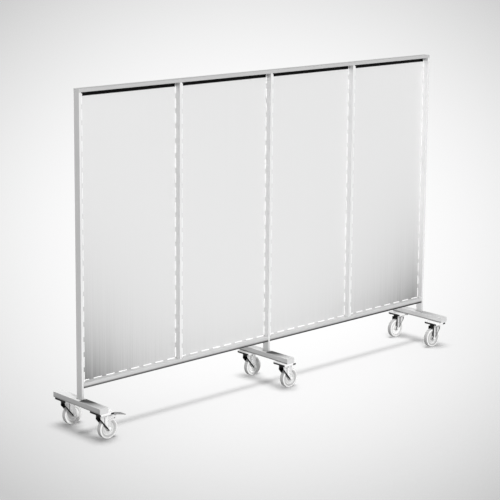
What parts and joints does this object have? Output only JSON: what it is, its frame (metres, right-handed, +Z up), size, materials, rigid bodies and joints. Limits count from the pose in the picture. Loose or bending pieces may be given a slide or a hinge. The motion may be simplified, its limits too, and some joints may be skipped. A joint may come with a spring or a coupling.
{
  "type": "rolling partition",
  "caption": "Free-standing wall of tall plain sheet panels in a tube frame, on cross feet with swivel casters, one of them braked; it rolls and closes off part of a room.",
  "frame": {"origin": "on the floor, under the middle of the wall", "axes": "+X along the wall to the right end, +Y to the rear of the panels, +Z up; the front, where the panels lie back in the frame, faces -Y"},
  "size_m": [3.045, 0.45, 2.025],
  "materials": {
    "frame_steel": "brushed along the tube",
    "panel_sheet": "fine vertical brushing",
    "foot_steel": "brushed along the bar",
    "caster_plate_steel": "satin",
    "fork_steel": "satin pressed sheet",
    "fastener_steel": "bright machined",
    "wheel_white": "moulded, satin",
    "tread_white": "non-marking, matte",
    "pedal_steel": "satin with tread ribs"
  },
  "bodies": {
    "frame": {"top_rail": "frame_steel", "top_rail_end_caps": "frame_steel", "bottom_rail_left": "frame_steel", "bottom_rail_right": "frame_steel", "left_end_post": "frame_steel", "left_mid_post": "frame_steel", "centre_post": "frame_steel", "right_mid_post": "frame_steel", "right_end_post": "frame_steel", "panel_1": "panel_sheet", "panel_2": "panel_sheet", "panel_3": "panel_sheet", "panel_4": "panel_sheet", "side_strips": "frame_steel", "left_foot": "foot_steel", "centre_foot": "foot_steel", "right_foot": "foot_steel", "foot_end_caps": "foot_steel", "mounting_pads": "caster_plate_steel", "plate_screws": "fastener_steel", "kingpins": "fastener_steel", "swivel_bearings": "fastener_steel", "left_front_top_plate": "caster_plate_steel", "left_rear_top_plate": "caster_plate_steel", "centre_front_top_plate": "caster_plate_steel", "centre_rear_top_plate": "caster_plate_steel", "right_front_top_plate": "caster_plate_steel", "right_rear_top_plate": "caster_plate_steel"},
    "left_front_swivel": {"left_front_fork": "fork_steel", "left_front_axle_set": "fastener_steel"},
    "left_front_wheel": {"left_front_wheel_core": "wheel_white", "left_front_tread": "tread_white"},
    "left_front_pedal": {"left_front_brake_pedal": "pedal_steel"},
    "left_rear_swivel": {"left_rear_fork": "fork_steel", "left_rear_axle_set": "fastener_steel"},
    "left_rear_wheel": {"left_rear_wheel_core": "wheel_white", "left_rear_tread": "tread_white"},
    "centre_front_swivel": {"centre_front_fork": "fork_steel", "centre_front_axle_set": "fastener_steel"},
    "centre_front_wheel": {"centre_front_wheel_core": "wheel_white", "centre_front_tread": "tread_white"},
    "centre_rear_swivel": {"centre_rear_fork": "fork_steel", "centre_rear_axle_set": "fastener_steel"},
    "centre_rear_wheel": {"centre_rear_wheel_core": "wheel_white", "centre_rear_tread": "tread_white"},
    "right_front_swivel": {"right_front_fork": "fork_steel", "right_front_axle_set": "fastener_steel"},
    "right_front_wheel": {"right_front_wheel_core": "wheel_white", "right_front_tread": "tread_white"},
    "right_rear_swivel": {"right_rear_fork": "fork_steel", "right_rear_axle_set": "fastener_steel"},
    "right_rear_wheel": {"right_rear_wheel_core": "wheel_white", "right_rear_tread": "tread_white"}
  },
  "joints": [
    {"name": "left_front_swivel_turn", "type": "hinge", "parent": "frame", "child": "left_front_swivel", "pos_m": [-1.4645, -0.169, 0.15], "axis": [0, 0, 1], "continuous": true},
    {"name": "left_front_wheel_spin", "type": "hinge", "parent": "left_front_swivel", "child": "left_front_wheel", "pos_m": [-1.4285, -0.169, 0.0625], "axis": [0, 1, 0], "continuous": true},
    {"name": "left_front_pedal_press", "type": "hinge", "parent": "left_front_swivel", "child": "left_front_pedal", "pos_m": [-1.3985, -0.169, 0.13036], "axis": [0, 1, 0], "range_deg": [0, 12]},
    {"name": "left_rear_swivel_turn", "type": "hinge", "parent": "frame", "child": "left_rear_swivel", "pos_m": [-1.4645, 0.169, 0.15], "axis": [0, 0, 1], "continuous": true},
    {"name": "left_rear_wheel_spin", "type": "hinge", "parent": "left_rear_swivel", "child": "left_rear_wheel", "pos_m": [-1.4285, 0.169, 0.0625], "axis": [0, 1, 0], "continuous": true},
    {"name": "centre_front_swivel_turn", "type": "hinge", "parent": "frame", "child": "centre_front_swivel", "pos_m": [0, -0.169, 0.15], "axis": [0, 0, 1], "continuous": true},
    {"name": "centre_front_wheel_spin", "type": "hinge", "parent": "centre_front_swivel", "child": "centre_front_wheel", "pos_m": [0.036, -0.169, 0.0625], "axis": [0, 1, 0], "continuous": true},
    {"name": "centre_rear_swivel_turn", "type": "hinge", "parent": "frame", "child": "centre_rear_swivel", "pos_m": [0, 0.169, 0.15], "axis": [0, 0, 1], "continuous": true},
    {"name": "centre_rear_wheel_spin", "type": "hinge", "parent": "centre_rear_swivel", "child": "centre_rear_wheel", "pos_m": [0.036, 0.169, 0.0625], "axis": [0, 1, 0], "continuous": true},
    {"name": "right_front_swivel_turn", "type": "hinge", "parent": "frame", "child": "right_front_swivel", "pos_m": [1.4645, -0.169, 0.15], "axis": [0, 0, 1], "continuous": true},
    {"name": "right_front_wheel_spin", "type": "hinge", "parent": "right_front_swivel", "child": "right_front_wheel", "pos_m": [1.4285, -0.169, 0.0625], "axis": [0, 1, 0], "continuous": true},
    {"name": "right_rear_swivel_turn", "type": "hinge", "parent": "frame", "child": "right_rear_swivel", "pos_m": [1.4645, 0.169, 0.15], "axis": [0, 0, 1], "continuous": true},
    {"name": "right_rear_wheel_spin", "type": "hinge", "parent": "right_rear_swivel", "child": "right_rear_wheel", "pos_m": [1.4285, 0.169, 0.0625], "axis": [0, 1, 0], "continuous": true}
  ]
}
